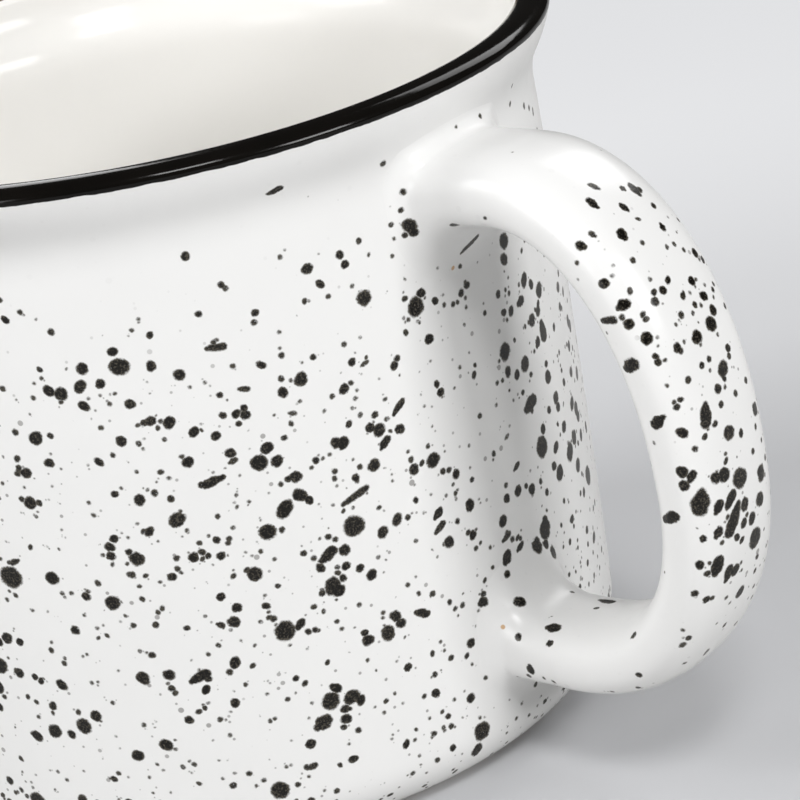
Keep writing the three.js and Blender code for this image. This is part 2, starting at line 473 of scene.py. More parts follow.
def fade(tree, value, start, end):
    """0 where value is at start, 1 where it is at end, smooth between."""
    sockets = {"Value": value, "From Min": start, "From Max": end}
    return Wire.node(tree, "ShaderNodeMapRange", {"interpolation_type": "SMOOTHSTEP"}, sockets)


def blend(tree, share, first, second):
    settings = {"data_type": "RGBA"}
    return Wire.node(tree, "ShaderNodeMix", settings, {0: share, 6: first, 7: second}, 2)


def bump(tree, height, distance):
    return Wire.node(tree, "ShaderNodeBump", {}, {"Height": height, "Distance": distance, "Strength": 1})


print("shader helpers:", [helper.__name__ for helper in (noise, fade, blend, bump)])

# %% Measures in a shader


def vector_measure(tree, operation, first, second):
    return Wire.node(tree, "ShaderNodeVectorMath", {"operation": operation}, {0: first, 1: second}, "Value")


def apart(tree, first, second):
    return vector_measure(tree, "DISTANCE", first, second)


def dot(tree, first, second):
    return vector_measure(tree, "DOT_PRODUCT", first, second)


def height_and_radius(tree, place):
    """Height above the standing plane and distance from the cup's axis."""
    height = Wire.node(tree, "ShaderNodeSeparateXYZ", {}, {"Vector": place}, "Z")
    level = Wire.node(tree, "ShaderNodeCombineXYZ", {}, {"Z": height})
    return height, apart(tree, place - level, AXIS)


def attribute(tree, name, out):
    return Wire.node(tree, "ShaderNodeAttribute", {"attribute_name": name}, {}, out)


print("measures:", [helper.__name__ for helper in (apart, dot, height_and_radius, attribute)])

# %% Liner glaze
LINER_WHITE = (0.86, 0.848, 0.82, 1)
LINER_SHADE = (0.83, 0.818, 0.79, 1)
LINER_WAVES = 14 * MM
LINER_RIPPLES = 1.2 * MM
LINER_LOOK = {"roughness": 0.12, "spread": 0.06, "gloss": 0.14, "ripple": 0.02, "depth": 0.2 * MM}
RIM_BLACK = (0.003, 0.0028, 0.0025, 1)
RIM_BROWN = (0.1, 0.066, 0.034, 1)
FRINGE_WANDER = 0.25 * MM
FRINGE_BROWN = (0.48 * MM, 0.34 * MM)
FRINGE_BLACK = 0.2 * MM


def glaze_surface(tree, shader, waves, ripples, look):
    """Gloss, and a skin that slow waves and fine ripples bend a little."""
    plug(tree, shader.inputs["Roughness"], look["roughness"] + ripples * look["spread"])
    shader.inputs["Specular IOR Level"].default_value = look["gloss"]
    plug(tree, shader.inputs["Normal"], bump(tree, waves + ripples * look["ripple"], look["depth"]))


def liner_glaze(material):
    tree, shader, place = open_material(material)
    waves = noise(tree, place, LINER_WAVES)
    ripples = noise(tree, place, LINER_RIPPLES)
    height, radius = height_and_radius(tree, place)
    edge = lip_centre.x + LIP_HALF_WIDTH * math.cos(math.radians(BAND_INNER_ANGLE))
    wandering = radius + (ripples - MIDDLE) * FRINGE_WANDER
    on_lip = fade(tree, height, neck_height, lip_centre.y)
    brown = fade(tree, wandering, edge - FRINGE_BROWN[0], edge - FRINGE_BROWN[1]) * on_lip
    black = fade(tree, wandering, edge - FRINGE_BLACK, edge) * on_lip
    white = blend(tree, waves, LINER_WHITE, LINER_SHADE)
    fringed = blend(tree, brown, white, RIM_BROWN)
    plug(tree, shader.inputs["Base Color"], blend(tree, black, fringed, RIM_BLACK))
    glaze_surface(tree, shader, waves, ripples, LINER_LOOK)


liner = bpy.data.materials.new("liner_glaze")
liner_glaze(liner)
print("liner glaze:", len(liner.node_tree.nodes), "nodes")

# %% Rim glaze
RIM_SOFT = (0.007, 0.006, 0.005, 1)
RIM_WAVES = 6 * MM
RIM_RIPPLES = 0.6 * MM
RIM_LOOK = {"roughness": 0.08, "spread": 0.08, "gloss": 0.18, "ripple": 0.04, "depth": 0.06 * MM}


def rim_glaze(material):
    tree, shader, place = open_material(material)
    waves = noise(tree, place, RIM_WAVES)
    ripples = noise(tree, place, RIM_RIPPLES)
    plug(tree, shader.inputs["Base Color"], blend(tree, waves, RIM_BLACK, RIM_SOFT))
    glaze_surface(tree, shader, waves, ripples, RIM_LOOK)


rim_black = bpy.data.materials.new("rim_glaze")
rim_glaze(rim_black)
print("rim glaze:", len(rim_black.node_tree.nodes), "nodes")

# %% Bare clay and slip
STONEWARE = (0.74, 0.67, 0.57, 1)
SLIP = (0.68, 0.61, 0.51, 1)
CLAY_GRAIN = 0.5 * MM
CLAY_DETAIL = 4
CLAY_CLOUDS = 9 * MM
CLOUD_SHARE = 0.4
CLAY_SHADE = 0.78
CLAY_ROUGHNESS = 0.75
CLAY_SPREAD = 0.2
WHEEL_RINGS = 0.6 * MM
CLAY_RELIEF = 0.06 * MM


def bare_clay(material, colour):
    tree, shader, place = open_material(material)
    grain = noise(tree, place, CLAY_GRAIN, CLAY_DETAIL)
    clouds = noise(tree, place, CLAY_CLOUDS)
    darker = tuple(CLAY_SHADE * channel for channel in colour[:3]) + (1,)
    patches = grain * (1 - CLOUD_SHARE) + clouds * CLOUD_SHARE
    plug(tree, shader.inputs["Base Color"], blend(tree, patches, colour, darker))
    plug(tree, shader.inputs["Roughness"], CLAY_ROUGHNESS + grain * CLAY_SPREAD)
    _, radius = height_and_radius(tree, place)
    track = Wire.node(tree, "ShaderNodeCombineXYZ", {}, {"X": radius})
    rings = noise(tree, track, WHEEL_RINGS)
    plug(tree, shader.inputs["Normal"], bump(tree, grain + rings, CLAY_RELIEF))


clay = bpy.data.materials.new("stoneware")
bare_clay(clay, STONEWARE)
slip = bpy.data.materials.new("slip")
bare_clay(slip, SLIP)
print("clay and slip:", len(clay.node_tree.nodes), "nodes each")

# %% [markdown]
# ## Clay cup, liner and rim bead
#
# On the bench the cup is one lump of clay, bare only at its foot. The glazes lie on it as thin coats, each
# with a hair's gap to the clay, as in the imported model. So the same outline is turned three times: whole
# and set back by the glaze's depth for the clay, its inside for the liner, and the lip's round for the
# black bead. The bead is what the eye follows, so it gets twice the turns.

# %% Turn the cup
CUP_TURNS = 320


def cup_outline():
    clay_depth = GLAZE + SEAT
    wall = outside_line(clay_depth)
    ring_outside = wall[-1].x - FOOT_STEP
    ring_inside = ring_outside - FOOT_WIDTH
    recess = Vector((ring_inside - FOOT_RECESS, FOOT_RECESS))
    foot = chain(
        line(Vector((ring_outside, 0)), Vector((ring_inside, 0)), STEPS["foot ring"]),
        line(Vector((ring_inside, 0)), recess, STEPS["foot chamfer"]),
        line(recess, Vector((0, FOOT_RECESS)), STEPS["underside"]),
    )
    return chain(inside_line(clay_depth), band_line(clay_depth), wall) + foot


clay_cup = turn("clay_cup", cup_outline(), CUP_TURNS // 2, clay)
liner_coat = thicken(turn("liner_coat", inside_line(0), CUP_TURNS // 2, liner), GLAZE)
rim_bead = thicken(turn("rim_bead", band_line(0), CUP_TURNS, rim_black), GLAZE)
for piece in (clay_cup, liner_coat, rim_bead):
    report(piece)

# %% [markdown]
# ## The handle
#
# The strap is one section, a soft-cornered oval, led along a centre line of two straight roots and two
# bends. Near the wall it flares: most towards the fingers, least on the sides. The glaze then runs into the
# corner and rounds it, so the last rings leave the strap and lie down on the wall. A curve with a bevel
# would give the bends, but not those roots: here each of the section's points finds the wall by itself,
# because the wall is round and the lip flares above it.

# %% Sizes of the handle
STRAP_THICKNESS = 7.9 * MM
STRAP_WIDTH_TOP = 15.6 * MM
STRAP_WIDTH_LOW = 12.8 * MM
STRAP_SQUARENESS = 2.5
UPPER_ROOT_DROP = 11.2 * MM
LOWER_ROOT_HEIGHT = 14.2 * MM
STANDOFF = 26.7 * MM
BELLY_HEIGHT = 35.9 * MM
ROOT_STRAIGHT = 8 * MM
UPPER_BEND = (0.54, 0.63)
LOWER_BEND = (0.65, 0.59)
FLARE_INSIDE = 5.2 * MM
FLARE_OUTSIDE = 1.6 * MM
FLARE_SIDE = 0.8 * MM
POOL = 1.5 * MM
BURIED = 0.03 * MM
SECTION_POINTS = 72
BEND_STEPS = 60
POOL_POINTS = 9
ROOT_STEPS = 10
MEETING_ROUNDS = 30

upper_root = HEIGHT - UPPER_ROOT_DROP
reach = neck_radius + STANDOFF
wall_line = sorted(outside_line(0), key=lambda p: p.y)
wall_heights = [p.y for p in wall_line]


def wall_radius(height):
    k = min(max(bisect_left(wall_heights, height), 1), len(wall_line) - 1)
    low, high = wall_line[k - 1], wall_line[k]
    return low.x + (high.x - low.x) * (height - low.y) / (high.y - low.y)


print("roots: the wall's radius there", in_mm(*map(wall_radius, (upper_root, LOWER_ROOT_HEIGHT))), "mm")

# %% Section of the strap


def flare(size, from_wall):
    left = min(max(1 - from_wall / size, 0), 1)
    return size * left * left


def squared(value):
    return math.copysign(abs(value) ** (2 / STRAP_SQUARENESS), value)


def section_offsets(share, from_wall, angle):
    """Across the strap and away from the centre line, where away is positive on the outer face."""
    width = STRAP_WIDTH_TOP + (STRAP_WIDTH_LOW - STRAP_WIDTH_TOP) * share
    across = (width / 2 + flare(FLARE_SIDE, from_wall)) * squared(math.cos(angle))
    side = squared(math.sin(angle))
    away = STRAP_THICKNESS / 2 + flare(FLARE_OUTSIDE if side > 0 else FLARE_INSIDE, from_wall)
    return across, away * side


print("strap: half widths at both walls", in_mm(*(section_offsets(share, 0, 0)[0] for share in (0, 1))), "mm")

# %% Centre line and rings


def strap_path():
    upper = Vector((neck_radius + ROOT_STRAIGHT, upper_root))
    lower = Vector((base_radius + ROOT_STRAIGHT, LOWER_ROOT_HEIGHT))
    belly = Vector((reach, BELLY_HEIGHT))
    first = bezier(
        upper, Vector((upper.x + (reach - upper.x) * UPPER_BEND[0], upper.y)),
        Vector((reach, belly.y + (upper.y - belly.y) * UPPER_BEND[1])), belly, BEND_STEPS,
    )
    second = bezier(
        belly, Vector((reach, belly.y + (lower.y - belly.y) * LOWER_BEND[1])),
        Vector((lower.x + (reach - lower.x) * LOWER_BEND[0], lower.y)), lower, BEND_STEPS,
    )
    return chain(first, second)


def bend_rings(angles):
    path = strap_path()
    steps = [0.0]
    for a, b in zip(path, path[1:]):
        steps.append(steps[-1] + (b - a).length)
    whole = steps[-1] + 2 * ROOT_STRAIGHT
    rings = []
    for k, point in enumerate(path):
        run = (path[min(k + 1, len(path) - 1)] - path[max(k - 1, 0)]).normalized()
        share = (steps[k] + ROOT_STRAIGHT) / whole
        from_wall = ROOT_STRAIGHT + min(steps[k], steps[-1] - steps[k])
        ring = []
        for angle in angles:
            across, away = section_offsets(share, from_wall, angle)
            ring.append(Vector((point.x - run.y * away, across, point.y + run.x * away)))
        rings.append(ring)
    return rings


print("handle: centre line of", len(strap_path()), "points, reaching", in_mm(reach), "mm from the cup's axis")

# %% Roots that lie down on the wall


def on_wall(y, z):
    return Vector((math.sqrt(wall_radius(z) ** 2 - y * y), y, z))


def root_line(angle, radius, height, facing, share):
    """One line of the strap's skin from the wall outwards to the start of the bend."""

    def skin(from_wall):
        across, away = section_offsets(share, from_wall, angle)
        return Vector((radius + from_wall, across, height + facing * away))

    meets = 0.0
    for _ in range(MEETING_ROUNDS):
        point = skin(meets)
        meets = on_wall(point.y, point.z).x - radius
    corner = skin(meets)
    leaves = skin(meets + POOL)
    centre = Vector((0, corner.y, corner.z - height)).normalized()
    foot = on_wall(corner.y + centre.y * POOL, corner.z + centre.z * POOL)
    lies = on_wall(*foot.lerp(corner, CORNER_PULL).yz)
    pooled = interpolate_bezier(foot, lies, leaves.lerp(corner, CORNER_PULL), leaves, POOL_POINTS)
    outwards = foot.copy()
    outwards.z = 0
    pooled[0] -= outwards.normalized() * BURIED
    left = ROOT_STRAIGHT - meets - POOL
    stretch = [meets + POOL + left * k / ROOT_STEPS for k in range(1, ROOT_STEPS)]
    return pooled + [skin(from_wall) for from_wall in stretch]


def handle_rings():
    angles = [math.tau * k / SECTION_POINTS for k in range(SECTION_POINTS)]
    upper = [root_line(angle, neck_radius, upper_root, 1, 0) for angle in angles]
    lower = [root_line(angle, base_radius, LOWER_ROOT_HEIGHT, -1, 1) for angle in angles]
    start = [list(ring) for ring in zip(*upper)]
    end = [list(ring) for ring in zip(*lower)]
    return start + bend_rings(angles) + end[::-1]


def skin_of_rings(name, rings, material):
    mesh = bpy.data.meshes.new(name)
    points = [point + AXIS for ring in rings for point in ring]
    faces = []
    for a in range(0, (len(rings) - 1) * SECTION_POINTS, SECTION_POINTS):
        for k in range(SECTION_POINTS):
            after = (k + 1) % SECTION_POINTS
            faces.append((a + k, a + after, a + after + SECTION_POINTS, a + k + SECTION_POINTS))
    mesh.from_pydata(points, [], faces)
    mesh.shade_smooth()
    mesh.materials.append(material)
    return new_object(name, mesh)


speckled = bpy.data.materials.new("speckled_glaze")
handle_coat = skin_of_rings("handle_coat", handle_rings(), speckled)
print("handle:", len(handle_coat.data.polygons), "faces")

# %% [markdown]
# ## The outer coat
#
# The cup is dipped after its handle is stuck on, so there is no glaze between the two. The coat is turned
# like the others, and the faces under each root are taken out. A Boolean would cut a truer edge, but nobody
# sees it below the handle's glaze, and whole faces leave a clean grid.

# %% Outer coat with a window under each root
WINDOW_MARGIN = 1.5 * MM


def in_window(point):
    for height, share, facing in ((upper_root, 0, 1), (LOWER_ROOT_HEIGHT, 1, -1)):
        away = facing * (point.z - height)
        half_width = section_offsets(share, 0, 0)[0] - WINDOW_MARGIN
        half_height = abs(section_offsets(share, 0, math.copysign(math.pi / 2, away))[1]) - WINDOW_MARGIN
        if point.x > AXIS.x and (point.y / half_width) ** 2 + (away / half_height) ** 2 < 1:
            return True
    return False


def cut_windows(made):
    bm = bmesh.new()
    bm.from_mesh(made.data)
    inside = [face for face in bm.faces if in_window(face.calc_center_median())]
    print(made.name, "windows:", len(inside), "of", len(bm.faces), "faces taken out")
    bmesh.ops.delete(bm, geom=inside, context="FACES")
    bm.to_mesh(made.data)
    bm.free()
    return made


outer_coat = cut_windows(turn("outer_coat", outside_line(0), CUP_TURNS, speckled))

# %% [markdown]
# ## Where the speckles fall
#
# The speckles were sprayed, so they lie on both coats alike. A helper skin of both outer faces carries the
# spray's strength: none under the lip, full from the cup's middle down, thin on the handle's arch and inner
# side. A Geometry Nodes tree scatters drops over it, with sizes spread like those of a real spray: many
# small and few large ones, and some with a satellite that touches them.

# %% Strength of the spray
WALL_STRAY = 0.04
WALL_FADE = (68 * MM, 50 * MM)
HANDLE_STRAY = 0.05
ARCH_FADE = (68 * MM, 56 * MM)
FACING_FADE = (0.2, 0.8)
LOW_LIMB_FADE = (18 * MM, 24 * MM)
LOW_LIMB_LEAST = 0.15
loop_centre = Vector((AXIS.x + neck_radius + STANDOFF / 2, 0, BELLY_HEIGHT))


def ramp(value, start, end):
    share = min(max((value - start) / (end - start), 0), 1)
    return share * share * (3 - 2 * share)


def wall_spray(place, normal):
    return WALL_STRAY + (1 - WALL_STRAY) * ramp(place.z, *WALL_FADE)


def handle_spray(place, normal):
    outwards = place - loop_centre
    outwards.y = 0
    facing = ramp(normal.dot(outwards.normalized()), *FACING_FADE)
    arch = ramp(place.z, *ARCH_FADE)
    low_limb = LOW_LIMB_LEAST + (1 - LOW_LIMB_LEAST) * ramp(place.z, *LOW_LIMB_FADE)
    return HANDLE_STRAY + (1 - HANDLE_STRAY) * facing * arch * low_limb


def add_spray(made, strength):
    values = [strength(vertex.co, vertex.normal) for vertex in made.data.vertices]
    made.data.attributes.new("spray", "FLOAT", "POINT").data.foreach_set("value", values)
    print(made.name, "spray: on average", round(sum(values) / len(values), 2), "of the full strength")


add_spray(outer_coat, wall_spray)
add_spray(handle_coat, handle_spray)

# %% Helper skin of both coats


def join_skins(name, *coats):
    bm = bmesh.new()
    for coat in coats:
        bm.from_mesh(coat.data)
    mesh = bpy.data.meshes.new(name)
    bm.to_mesh(mesh)
    bm.free()
    return new_object(name, mesh)


skin = join_skins("skin", outer_coat, handle_coat)
skin_tree = BVHTree.FromPolygons([v.co for v in skin.data.vertices], [p.vertices for p in skin.data.polygons])
print("skin:", len(skin.data.polygons), "faces")

# %% Scattered drops as a node tree
DROPS_PER_SQUARE_METRE = 300000
DROP_SIZE = 0.26 * MM
DROP_SPREAD = 1.3
SIZE_LUCK = (-0.5, 0.5)
SATELLITES = (-1.5, 1.9)
SATELLITE_REACH = 2
SATELLITE_SIZE = (0.4, 0.8)
SPATTER_SEED = 11


def chance(tree, seed, low, high):
    return Wire.node(tree, "FunctionNodeRandomValue", {"data_type": "FLOAT"}, {2: low, 3: high, 8: seed}, 1)


def store_size(tree, geometry, size):
    settings = {"data_type": "FLOAT", "domain": "POINT"}
    sockets = {"Geometry": geometry, "Name": "size", "Value": size}
    return Wire.node(tree, "GeometryNodeStoreNamedAttribute", settings, sockets)


def spatter_tree():
    tree, sockets, wires = new_tree("spatter", [
        ("Skin", "NodeSocketGeometry"),
        ("Density", "NodeSocketFloat"),
        ("Middle Size", "NodeSocketFloat"),
        ("Spread", "NodeSocketFloat"),
        ("Seed", "NodeSocketInt"),
        ("Material", "NodeSocketMaterial"),
    ])
    seed = wires["Seed"]
    spray = Wire.node(tree, "GeometryNodeInputNamedAttribute", {"data_type": "FLOAT"}, {"Name": "spray"})
    size = Wire.node(tree, "GeometryNodeInputNamedAttribute", {"data_type": "FLOAT"}, {"Name": "size"})
    scattered = Wire.node(
        tree, "GeometryNodeDistributePointsOnFaces", {"distribute_method": "RANDOM"},
        {"Mesh": wires["Skin"], "Density": spray * wires["Density"], "Seed": seed},
    )
    first, second, third = [chance(tree, seed + draw, *SIZE_LUCK) for draw in (1, 2, 3)]
    luck = first + second + third
    growth = Wire.node(tree, "ShaderNodeMath", {"operation": "EXPONENT"}, {0: luck * wires["Spread"]})
    drops = store_size(tree, scattered, growth * wires["Middle Size"])
    amount = chance(tree, seed + 4, *SATELLITES).most(0)
    twins = Wire.node(
        tree, "GeometryNodeDuplicateElements", {"domain": "POINT"}, {"Geometry": drops, "Amount": amount},
    )
    shift = Wire.node(
        tree, "FunctionNodeRandomValue", {"data_type": "FLOAT_VECTOR"}, {0: -1, 1: 1, 8: seed + 5},
    )
    beside = Wire.node(tree, "GeometryNodeInputPosition") + shift * (size * SATELLITE_REACH)
    landed = Wire.node(
        tree, "GeometryNodeProximity", {"target_element": "FACES"},
        {"Geometry": wires["Skin"], "Sample Position": beside}, "Position",
    )
    moved = Wire.node(tree, "GeometryNodeSetPosition", {}, {"Geometry": twins, "Position": landed})
    satellites = store_size(tree, moved, size * chance(tree, seed + 6, *SATELLITE_SIZE))
    joined = Wire.node(tree, "GeometryNodeJoinGeometry", {}, {"Geometry": satellites})
    plug(tree, joined.socket.node.inputs["Geometry"], drops)
    vertices = Wire.node(tree, "GeometryNodePointsToVertices", {}, {"Points": joined})
    end_tree(tree, vertices, wires["Material"])
    return tree, sockets


spatter, spatter_inputs = spatter_tree()
print("spatter:", len(spatter.nodes), "nodes")

# %% Scatter the drops
run_tree(skin, spatter, spatter_inputs, {
    "Density": DROPS_PER_SQUARE_METRE,
    "Middle Size": DROP_SIZE,
    "Spread": DROP_SPREAD,
    "Seed": SPATTER_SEED,
    "Material": speckled,
})
drops = [(v.co.copy(), size.value) for v, size in zip(skin.data.vertices, skin.data.attributes["size"].data)]
bpy.data.objects.remove(skin)
print("spatter:", len(drops), "drops, radius up to", in_mm(max(size for _, size in drops)), "mm")

# %% [markdown]
# ## The splashes one knows the mug by
#
# Chance gives a good spray, but not this one. The larger splashes were read off the photograph, as
# pixel coordinates with a width. Drops that ran are streaks, with the pixels of their thin and their thick
# end and a width. Rays through the camera carry them onto the mug, and large chance drops stay away from
# what the photograph shows.

# %% Splashes in the photograph
SPLASHES = {
    "wall, left": (
        (5, 320, 9), (119, 367, 19), (112, 352, 11), (82, 369, 12), (80, 387, 15), (84, 406, 12),
        (49, 391, 13), (61, 394, 14), (36, 438, 15), (50, 436, 7), (130, 404, 11), (100, 384, 10),
        (121, 441, 12), (11, 577, 24), (52, 578, 14), (30, 503, 13), (26, 473, 12), (19, 468, 7),
        (17, 459, 8), (49, 463, 10), (99, 462, 11), (140, 500, 12), (149, 532, 11), (114, 539, 10),
        (110, 547, 10), (111, 556, 9), (137, 559, 15), (113, 603, 15), (86, 596, 9), (98, 583, 7),
        (75, 630, 10), (7, 638, 13), (20, 642, 9), (0, 666, 19), (19, 673, 11), (62, 685, 13), (35, 677, 8),
        (41, 681, 8), (143, 678, 15), (53, 706, 10), (84, 726, 16), (96, 716, 12), (55, 731, 15),
        (37, 736, 13), (72, 734, 9), (138, 756, 12), (10, 781, 9), (83, 800, 11),
    ),
    "wall, middle": (
        (179, 375, 12), (151, 366, 11), (150, 335, 9), (185, 256, 9), (221, 285, 8), (151, 421, 11),
        (169, 423, 13), (158, 428, 7), (194, 432, 11), (216, 436, 9), (244, 408, 8), (236, 414, 10),
        (245, 415, 10), (261, 365, 10), (255, 313, 8), (188, 462, 12), (230, 453, 11), (259, 463, 17),
        (267, 448, 13), (277, 461, 12), (296, 477, 12), (300, 495, 15), (309, 500, 9), (285, 509, 20),
        (268, 532, 17), (282, 530, 7), (177, 520, 18), (194, 557, 11), (202, 552, 8), (221, 556, 9),
        (217, 540, 8), (172, 577, 10), (255, 574, 15), (247, 570, 7), (221, 597, 9), (237, 608, 10),
        (234, 622, 13), (285, 631, 21), (299, 626, 9), (266, 606, 9), (169, 675, 12), (206, 690, 11),
        (208, 679, 8), (235, 663, 13), (230, 672, 7), (235, 703, 9), (166, 745, 14), (280, 790, 18),
        (187, 628, 7), (189, 720, 9), (171, 499, 8), (115, 494, 8),
    ),
    "wall, towards the handle": (
        (307, 269, 12), (320, 284, 11), (340, 255, 9), (345, 264, 9), (359, 241, 7), (364, 298, 16),
        (416, 307, 20), (421, 293, 11), (435, 301, 9), (429, 339, 11), (467, 285, 8), (461, 293, 8),
        (301, 379, 14), (281, 379, 7), (283, 392, 11), (344, 389, 11), (352, 362, 8), (394, 366, 9),
        (397, 358, 7), (441, 392, 9), (437, 384, 8), (370, 428, 11), (379, 430, 14), (400, 429, 11),
        (336, 443, 12), (343, 443, 13), (384, 443, 11), (375, 415, 8), (349, 424, 8), (374, 465, 13),
        (356, 478, 9), (397, 520, 14), (383, 532, 13), (354, 526, 21), (345, 550, 12), (320, 568, 10),
        (346, 566, 10), (360, 568, 9), (372, 575, 11), (333, 586, 19), (339, 591, 14), (343, 578, 9),
        (322, 593, 7), (396, 616, 13), (401, 623, 11), (388, 633, 16), (368, 640, 13), (365, 633, 8),
        (336, 688, 13), (331, 701, 18), (352, 697, 17), (361, 700, 11), (345, 709, 9), (346, 719, 11),
        (311, 744, 11), (353, 759, 9), (406, 744, 10), (433, 460, 16), (422, 463, 7), (414, 470, 11),
        (456, 474, 10), (470, 505, 13), (449, 542, 12), (473, 535, 9), (483, 602, 11), (471, 643, 10),
        (408, 667, 9), (471, 698, 10), (436, 693, 9), (482, 731, 19), (477, 750, 14), (453, 748, 8),
        (434, 734, 7),
    ),
    "wall, in the handle's shade": (
        (504, 241, 16), (504, 259, 14), (524, 280, 15), (531, 284, 11), (539, 290, 15), (511, 311, 10),
        (504, 312, 9), (538, 304, 8), (538, 311, 11), (532, 320, 14), (505, 352, 17), (525, 364, 16),
        (517, 375, 11), (508, 372, 11), (475, 365, 6), (474, 375, 8), (546, 364, 8), (548, 377, 15),
        (542, 447, 22), (543, 429, 10), (556, 447, 13), (554, 466, 11), (560, 473, 15), (570, 452, 19),
        (578, 465, 14), (588, 475, 22), (532, 489, 11), (518, 491, 11), (507, 498, 9), (503, 521, 12),
        (546, 544, 10), (552, 551, 9), (507, 574, 8), (498, 294, 8), (509, 293, 6), (558, 287, 12),
        (563, 292, 10), (560, 307, 9), (568, 321, 14), (570, 326, 12), (554, 327, 8), (569, 346, 10),
        (571, 372, 12), (577, 373, 13), (556, 398, 13), (558, 407, 10), (549, 410, 8), (572, 403, 14),
        (576, 408, 14), (578, 416, 12), (564, 427, 12), (574, 437, 14), (581, 435, 11), (586, 427, 12),
        (584, 492, 9), (572, 519, 10), (587, 530, 8), (594, 537, 12), (588, 544, 6), (570, 542, 7),
        (564, 501, 6), (547, 492, 8), (564, 382, 8),
    ),
    "upper root": (
        (403, 192, 7), (401, 210, 7), (391, 225, 6), (410, 226, 15), (413, 232, 10), (405, 235, 7),
        (455, 225, 12), (480, 116, 6), (456, 127, 5), (510, 104, 6), (524, 106, 7), (529, 108, 7),
        (533, 112, 8), (512, 86, 5),
    ),
    "lower root": (
        (520, 602, 12), (518, 637, 8), (529, 676, 6), (639, 675, 7), (597, 608, 6), (544, 678, 5),
        (572, 592, 5),
    ),
    "handle, bend": (
        (638, 219, 7), (577, 263, 6), (604, 284, 11), (612, 276, 5), (630, 291, 8), (629, 324, 12),
        (646, 319, 7), (647, 338, 12), (668, 280, 9), (654, 292, 8), (663, 290, 9), (655, 302, 9),
        (692, 281, 9), (674, 244, 6), (667, 247, 6), (684, 250, 6), (703, 260, 9), (704, 296, 11),
        (695, 305, 7), (701, 305, 6), (713, 310, 11), (693, 313, 6), (677, 348, 11), (658, 362, 8),
        (688, 380, 8), (728, 348, 9), (729, 356, 7), (725, 306, 7), (709, 359, 7), (684, 342, 5),
        (695, 253, 10), (711, 324, 16), (697, 337, 14), (723, 369, 18),
    ),
    "handle, belly": (
        (677, 407, 8), (682, 433, 12), (755, 409, 14), (741, 433, 9), (718, 389, 10), (725, 387, 6),
        (695, 449, 7), (682, 472, 12), (684, 486, 11), (726, 461, 8), (752, 518, 13), (744, 523, 11),
        (737, 537, 9), (742, 540, 8), (700, 565, 10), (654, 443, 5), (715, 424, 8), (745, 504, 14),
        (740, 478, 22), (761, 473, 17), (760, 499, 15), (755, 538, 21), (735, 570, 13), (740, 592, 14),
        (729, 433, 16), (724, 475, 16), (716, 478, 12),
    ),
}
STREAKS = {
    "wall": (
        (206, 349, 224, 346, 8), (268, 194, 280, 188, 8), (343, 505, 366, 488, 8), (223, 477, 205, 485, 9),
        (229, 463, 235, 460, 7), (322, 561, 332, 551, 12), (191, 682, 207, 673, 10),
        (318, 727, 325, 721, 16), (308, 769, 315, 765, 7), (416, 612, 427, 614, 9), (436, 533, 443, 523, 8),
        (435, 518, 440, 511, 10), (394, 414, 402, 402, 9), (361, 366, 367, 362, 6), (217, 624, 223, 626, 7),
        (239, 389, 247, 389, 7), (18, 560, 12, 563, 7), (289, 413, 295, 413, 6), (298, 626, 302, 622, 9),
        (382, 448, 387, 439, 9),
    ),
    "wall, in the handle's shade": (
        (526, 410, 533, 400, 16), (541, 323, 544, 336, 15), (537, 346, 538, 341, 11),
        (518, 304, 522, 300, 10), (545, 520, 545, 532, 20), (537, 541, 537, 546, 17),
        (505, 563, 508, 555, 13), (503, 541, 509, 534, 7), (518, 550, 522, 544, 8), (514, 470, 518, 464, 7),
        (505, 439, 508, 435, 5),
    ),
    "roots": (
        (461, 253, 477, 237, 7), (548, 627, 557, 628, 11), (601, 600, 611, 602, 10), (530, 666, 531, 671, 9),
        (547, 644, 551, 643, 7), (631, 638, 635, 634, 6), (680, 647, 684, 644, 6), (683, 664, 685, 663, 5),
        (704, 655, 708, 650, 6),
    ),
    "handle, bend": (
        (599, 189, 591, 185, 8), (597, 207, 590, 201, 10), (625, 190, 622, 188, 7), (639, 194, 632, 187, 11),
        (628, 210, 622, 206, 9), (661, 225, 663, 228, 8), (625, 238, 621, 233, 12), (595, 236, 591, 234, 7),
        (585, 247, 580, 245, 9), (683, 292, 683, 297, 7), (618, 308, 626, 304, 10), (602, 321, 614, 320, 8),
        (626, 369, 633, 364, 14),
    ),
    "handle, belly": (
        (702, 493, 700, 508, 19), (716, 513, 720, 504, 11), (727, 507, 733, 495, 13),
        (738, 504, 730, 532, 15), (716, 537, 720, 530, 11), (702, 541, 704, 538, 8),
        (715, 574, 719, 562, 15), (726, 580, 730, 569, 12), (693, 595, 695, 593, 8), (705, 602, 707, 599, 8),
        (664, 520, 675, 516, 12), (662, 418, 656, 424, 15), (705, 405, 706, 422, 15),
        (690, 481, 693, 474, 10),
    ),
}
PINHOLES = ((503, 627), (453, 268))
print("marks:", sum(map(len, SPLASHES.values())), "splashes,", sum(map(len, STREAKS.values())), "streaks")

# %% Carry the splashes onto the mug
LARGE_DROP = 0.38 * MM


def splash(x, y, across):
    """Place and radius of a drop, and no run."""
    place = skin_tree.ray_cast(CAMERA_PLACE, pixel_ray(x, y))[0]
    return place, across / 2 * depth_of(place) / FOCAL_PIXELS, Vector()


def streak(start_x, start_y, end_x, end_y, across):
    """Middle, radius and run of a drop that ran from its thin end to its thick one."""
    start, _, _ = splash(start_x, start_y, across)
    end, size, _ = splash(end_x, end_y, across)
    return (start + end) / 2, size, (end - start) / 2


def in_picture(place):
    hit = skin_tree.ray_cast(CAMERA_PLACE, place - CAMERA_PLACE)[0]
    shown = all(0 < pixel < PICTURE for pixel in pixel_of(place))
    return shown and (hit - place).length < GLAZE


